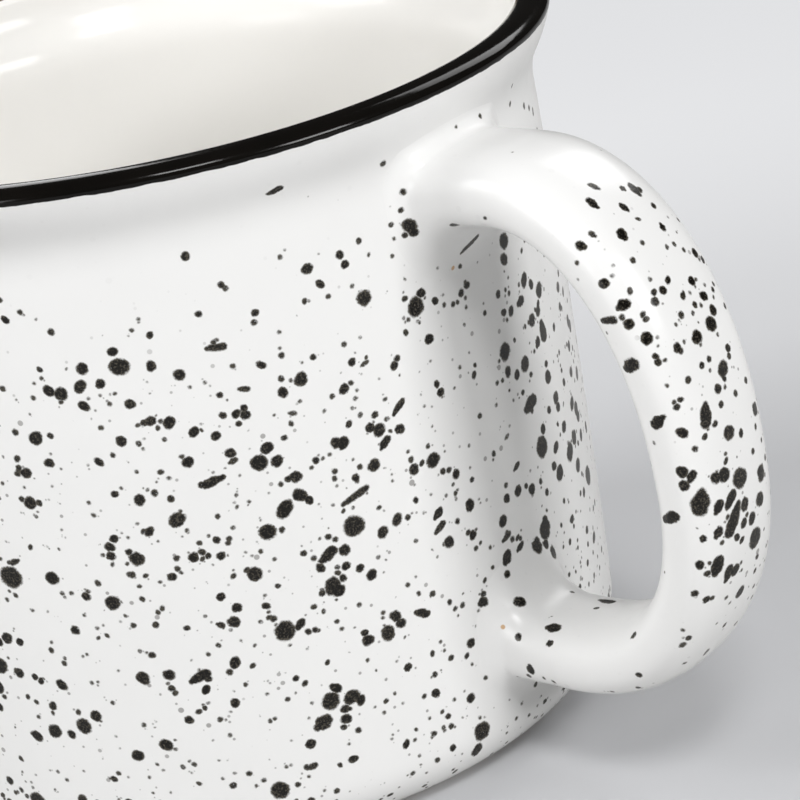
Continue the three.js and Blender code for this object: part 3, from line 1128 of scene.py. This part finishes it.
spots = [splash(*entry) for group in SPLASHES.values() for entry in group]
spots += [streak(*entry) for group in STREAKS.values() for entry in group]
longest = max(run.length for _, _, run in spots) * 2
print("splashes:", len(spots), "read off the photograph, the longest runs", in_mm(longest), "mm")
spots += [(place, size, Vector()) for place, size in drops if size < LARGE_DROP or not in_picture(place)]
pinholes = [splash(x, y, 1)[0] for x, y in PINHOLES]
print("spots:", len(spots))

# %% [markdown]
# ## A shader that knows its spots
#
# A few thousand spots are too many for a shader to try one by one. An image could hold them all, but would
# need unwrapping and a fixed sharpness. So every face of the coats is told about the few spots that matter
# to it: their middles, runs and radii are stored as face attributes, found with a k-d tree. The shader then
# only measures how far it is from each of those few.

# %% Nearest spots of a place
NEAREST = 4
SPOT_REACH = 3 * MM

spot_index = KDTree(len(spots))
for k, spot in enumerate(spots):
    spot_index.insert(spot[0], k)
spot_index.balance()


def gap_to(place, spot):
    centre, size, run = spot
    offset = place - centre
    share = min(max(offset.dot(run) / run.length_squared, -1), 1) if run.length else 0
    return (offset - run * share).length - size


def spots_near(place):
    found = [spots[k] for _, k, _ in spot_index.find_range(place, SPOT_REACH)]
    chosen = sorted(found, key=lambda spot: gap_to(place, spot))[:NEAREST]
    return chosen + [(Vector(), 0.0, Vector())] * (NEAREST - len(chosen))


print("spots:", NEAREST, "kept per face, from up to", in_mm(SPOT_REACH), "mm away")

# %% Thick coats that know their spots


def store_spots(made):
    near = [spots_near(face.center) for face in made.data.polygons]
    for layer in range(NEAREST):
        for title, part in (("spot", 0), ("spot_run", 2)):
            values = [channel for chosen in near for channel in chosen[layer][part]]
            stored = made.data.attributes.new(f"{title}_{layer}", "FLOAT_VECTOR", "FACE")
            stored.data.foreach_set("vector", values)
        sizes = [chosen[layer][1] for chosen in near]
        made.data.attributes.new(f"spot_size_{layer}", "FLOAT", "FACE").data.foreach_set("value", sizes)


for piece in (outer_coat, handle_coat):
    thicken(piece, GLAZE)
    store_spots(piece)
    report(piece)

# %% [markdown]
# ## The speckled glaze
#
# Each drop is a dark glaze that melted into the white one: a little ragged at its edge, grainy inside and
# pale where it is small and thin. Every drop is a distance: nearer than its radius there is ink, farther
# away white, and noise pushes the edge in and out. A drop that ran is measured from its run and not from
# its middle, and is thickest towards the end it ran to. No two drops are squeezed alike, because white
# noise on a drop's middle deals out the squeeze. Dust too fine to count is a Voronoi pattern, as thick as
# the spray was.

# %% One drop in the shader
SQUEEZE = 0.9
GIRTH = 1.08
GIRTH_TO_END = 0.2
GIRTH_OFF_MIDDLE = 0.3
RAGGED_MOST = 0.5 * MM
SOFT_EDGE = 0.14 * MM
SOFT_SHARE = 0.2
PALE_FADE = (0.08 * MM, 0.5 * MM)
PALE_COVER = 0.5
LUCK_SHARE = 0.1
# Keeps a drop without a run from a division by nothing.
NO_RUN = 1e-12


def spot_mask(tree, place, ragged, layer):
    """How much of the white one of the face's nearest spots covers, before the grain breaks it up."""
    centre = attribute(tree, f"spot_{layer}", "Vector")
    run = attribute(tree, f"spot_run_{layer}", "Vector")
    size = attribute(tree, f"spot_size_{layer}", "Fac")
    own = {"Vector": centre / MM}
    luck = Wire.node(tree, "ShaderNodeTexWhiteNoise", {}, own, "Value")
    squeeze = (Wire.node(tree, "ShaderNodeTexWhiteNoise", {}, own, "Color") - MIDDLE) * SQUEEZE
    offset = place - centre
    share = (dot(tree, offset, run) / (dot(tree, run, run) + NO_RUN)).most(-1).least(1)
    rest = offset - run * share
    shaped = rest + squeeze * dot(tree, rest, squeeze)
    girth = GIRTH + share * GIRTH_TO_END - share * share * GIRTH_OFF_MIDDLE
    edge = apart(tree, shaped, 0) - size * girth + ragged * size.least(RAGGED_MOST)
    cover = fade(tree, edge / (SOFT_EDGE + size * SOFT_SHARE), 1, -1)
    strong = PALE_COVER + (1 - PALE_COVER) * fade(tree, size, *PALE_FADE)
    return cover * strong * (1 - LUCK_SHARE + LUCK_SHARE * luck)


print("drops: pale below a radius of", in_mm(PALE_FADE[1]), "mm")

# %% Dust in the shader
DUST_EDGE = 0.05 * MM
DUST_LEAST = 0.25
DUST_GAIN = 0.5
DUSTS = ((1.3 * MM, 0.2 * MM), (2.1 * MM, 0.34 * MM))


def dust_mask(tree, place, spacing, largest):
    sockets = {"Vector": place, "Scale": 1 / spacing}
    away = Wire.node(tree, "ShaderNodeTexVoronoi", {}, sockets, "Distance") * spacing
    colour = Wire.node(tree, "ShaderNodeTexVoronoi", {}, sockets, "Color")
    luck = Wire.node(tree, "ShaderNodeSeparateColor", {}, {"Color": colour}, "Red")
    size = luck * luck * largest
    return fade(tree, away - size, DUST_EDGE, -DUST_EDGE) * (DUST_LEAST + luck * DUST_GAIN)


print("dust: spacing and largest radius", [in_mm(*dust) for dust in DUSTS], "mm")

# %% Speckled glaze
GLAZE_WHITE = (0.85, 0.848, 0.84, 1)
GLAZE_SHADE = (0.82, 0.818, 0.81, 1)
CHARCOAL = (0.005, 0.0042, 0.003, 1)
FLECK = (0.065, 0.058, 0.045, 1)
DUST = (0.22, 0.21, 0.2, 1)
PINHOLE_BEIGE = (0.62, 0.42, 0.25, 1)
OUTER_WAVES = 16 * MM
OUTER_RIPPLES = 2.2 * MM
OUTER_LOOK = {"roughness": 0.2, "spread": 0.08, "gloss": 0.32, "ripple": 0.02, "depth": 0.2 * MM}
INK_GRAIN = 0.24 * MM
INK_DETAIL = 1
INK_BREAKS = 1.2
INK_FADE = (0.1, 0.72)
EDGE_LUMPS = 0.9 * MM
EDGE_RAGGED = 0.9
FLECK_INSIDE = 0.7
FLECK_FADE = (0.5, 0.8)
BAND_WANDER = 0.35 * MM
BAND_FADE = (0.16 * MM, 0.06 * MM)
PINHOLE_FADE = (0.32 * MM, 0.18 * MM)


def ink_and_mask(tree, place):
    """The drops' colour, and where they cover the white."""
    grain = noise(tree, place, INK_GRAIN, INK_DETAIL)
    ragged = (noise(tree, place, EDGE_LUMPS) - MIDDLE) * EDGE_RAGGED
    mask = spot_mask(tree, place, ragged, 0)
    for layer in range(1, NEAREST):
        mask = mask.most(spot_mask(tree, place, ragged, layer))
    fleck = fade(tree, grain + (1 - mask) * FLECK_INSIDE, *FLECK_FADE)
    broken = fade(tree, mask * (1 + (grain - MIDDLE) * INK_BREAKS), *INK_FADE)
    return blend(tree, fleck, CHARCOAL, FLECK), broken


def speckled_glaze(material):
    tree, shader, place = open_material(material)
    waves = noise(tree, place, OUTER_WAVES)
    ripples = noise(tree, place, OUTER_RIPPLES)
    fine_dust, coarse_dust = [dust_mask(tree, place, *dust) for dust in DUSTS]
    dust = fine_dust.most(coarse_dust) * attribute(tree, "spray", "Fac")
    white = blend(tree, waves, GLAZE_WHITE, GLAZE_SHADE)
    ink, mask = ink_and_mask(tree, place)
    colour = blend(tree, mask, blend(tree, dust, white, DUST), ink)
    height, _ = height_and_radius(tree, place)
    band_end = lip_centre.y + LIP_HALF_HEIGHT * math.sin(math.radians(BAND_OUTER_ANGLE))
    wandering = height + (ripples - MIDDLE) * BAND_WANDER
    band = fade(tree, wandering, band_end - BAND_FADE[0], band_end - BAND_FADE[1])
    colour = blend(tree, band, colour, RIM_BLACK)
    for pinhole in pinholes:
        hole = fade(tree, apart(tree, place, pinhole), *PINHOLE_FADE)
        colour = blend(tree, hole, colour, PINHOLE_BEIGE)
    plug(tree, shader.inputs["Base Color"], colour)
    glaze_surface(tree, shader, waves, ripples, OUTER_LOOK)


speckled_glaze(speckled)
print("speckled glaze:", len(speckled.node_tree.nodes), "nodes")

# %% [markdown]
# ## Into the frame
#
# The handle's clay and the slip in both joints lie under glaze, so the imported solids serve as they are and
# only get their finish. The other pieces stand in for the imported ones: each rides the mug's one body, and
# the solid that it replaces is hidden.

# %% Carried-over clay
for node, finish in (("handle", clay), ("upper_slip_joint", slip), ("lower_slip_joint", slip)):
    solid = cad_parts[node]
    solid.data.materials.clear()
    solid.data.materials.append(finish)
    print(node, "keeps its packed shape, in", finish.name)

# %% Ride and replace
for piece, node, finish in (
    (clay_cup, "cup_body", "stoneware"),
    (liner_coat, "liner_glaze", "liner_glaze"),
    (outer_coat, "outer_glaze", "speckled_glaze"),
    (handle_coat, "handle_glaze", "speckled_glaze"),
    (rim_bead, "rim_band", "rim_glaze"),
):
    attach(piece, "root")
    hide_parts(node)
    print(piece.name, "stands in for", node)

# %% [markdown]
# ## Floor, backdrop and light
#
# In a studio a roll of paper is bent up behind the mug. Here the floor stays flat, and the camera sees it
# fade into the backdrop's even tone away from the mug, so that no horizon shows. Near the mug it is a real
# floor: it keeps the shadow and throws light back up under the lip. To the camera its colour is also painted,
# darker near the camera and lighter farther off, as a painted fall-off of light. Six soft boxes stand round
# the mug, at a level at which the glaze renders about as white as it is written. A lit dome would be simpler,
# but soft boxes shape the handle.

# %% Floor
FLOOR_HALF = 3.0
# The floor's tones as the camera sees it: painted shade near the camera, painted light farther off.
FLOOR_NEAR_PAINTED_SHADE = (0.56, 0.565, 0.58, 1)
FLOOR_FAR_PAINTED_LIGHT = (0.79, 0.795, 0.81, 1)
FLOOR_PAINTED_LIGHT_FADE = (0.33, 0.53)
FLOOR_BOUNCE = (0.54, 0.54, 0.54, 1)
FLOOR_ENDS = (0.14, 0.34)
FLOOR_ROUGHNESS = 0.6
BACKDROP = (0.753, 0.76, 0.776, 1)


def floor_paint():
    material = bpy.data.materials.new("floor_paint")
    tree, shader, place = open_material(material)
    by_camera = Wire.node(tree, "ShaderNodeLightPath", out="Is Camera Ray")
    depth = apart(tree, place, CAMERA_PLACE)
    # Seen by the camera, the floor is painted darker near the camera and lighter farther off: a painted
    # fall-off of light and shade, not the floor's own colour.
    seen = blend(tree, fade(tree, depth, *FLOOR_PAINTED_LIGHT_FADE), FLOOR_NEAR_PAINTED_SHADE, FLOOR_FAR_PAINTED_LIGHT)
    plug(tree, shader.inputs["Base Color"], blend(tree, by_camera, FLOOR_BOUNCE, seen))
    shader.inputs["Roughness"].default_value = FLOOR_ROUGHNESS
    shader.inputs["Specular IOR Level"].default_value = 0
    backdrop = Wire.node(tree, "ShaderNodeEmission", {}, {"Color": BACKDROP})
    far = fade(tree, apart(tree, place, 0), *FLOOR_ENDS) * by_camera
    near = Wire(tree, shader.outputs[0])
    whole = Wire.node(tree, "ShaderNodeMixShader", {}, {0: far, 1: near, 2: backdrop})
    plug(tree, tree.nodes["Material Output"].inputs["Surface"], whole)
    return material


corners = [(x * FLOOR_HALF, y * FLOOR_HALF, 0) for x, y in ((-1, -1), (1, -1), (1, 1), (-1, 1))]
floor_mesh = bpy.data.meshes.new("floor")
floor_mesh.from_pydata(corners, [], [(0, 1, 2, 3)])
floor_mesh.materials.append(floor_paint())
new_object("floor", floor_mesh)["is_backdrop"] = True
print("floor:", 2 * FLOOR_HALF, "m wide, gone in the backdrop from", FLOOR_ENDS[1], "m")

# %% Soft boxes
MUG_MIDDLE = Vector((0, 0, 0.04))
# Place in metres, side in metres and power in watts.
SOFT_BOXES = {
    "handle side": ((0.87, 0, 0.46), 0.3, 5),
    "front": ((0.51, -0.35, 0.83), 0.22, 3.1),
    "left": ((-0.54, -0.55, 0.68), 0.45, 4.5),
    "low fill": ((-0.1, -0.97, 0.3), 0.45, 3.4),
    "back": ((0, 0.77, 0.68), 0.45, 2.5),
    "behind": ((-0.8, 0.42, 0.5), 0.45, 2.4),
}


def soft_box(name, place, side, power):
    lamp = bpy.data.lights.new(name, "AREA")
    lamp.size = side
    lamp.energy = power
    made = bpy.data.objects.new(name, lamp)
    made.location = place
    made.rotation_euler = (MUG_MIDDLE - made.location).to_track_quat("-Z", "Y").to_euler()
    bpy.context.scene.collection.objects.link(made)


for name, box in SOFT_BOXES.items():
    soft_box(name, *box)
print("lights:", [lamp.name for lamp in bpy.data.lights])

# %% Backdrop
WORLD_FILL = 0.03


def studio():
    world = bpy.data.worlds.new("studio")
    world.use_nodes = True
    tree = world.node_tree
    fill = Wire.node(tree, "ShaderNodeBackground", {}, {"Strength": WORLD_FILL})
    backdrop = Wire.node(tree, "ShaderNodeBackground", {}, {"Color": BACKDROP})
    by_camera = Wire.node(tree, "ShaderNodeLightPath", out="Is Camera Ray")
    sky = Wire.node(tree, "ShaderNodeMixShader", {}, {0: by_camera, 1: fill, 2: backdrop})
    plug(tree, tree.nodes["World Output"].inputs["Surface"], sky)
    return world


bpy.context.scene.world = studio()
bpy.context.scene.view_settings.view_transform = "Standard"
print("world:", bpy.context.scene.world.name, "seen as", BACKDROP[:3])

# %% [markdown]
# ## The finished mug
#
# Last, the dressed mug is measured.

# %% Size of the finished mug
visual_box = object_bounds()
print("sizes:", in_mm(*(visual_box[1] - visual_box[0])), "mm")
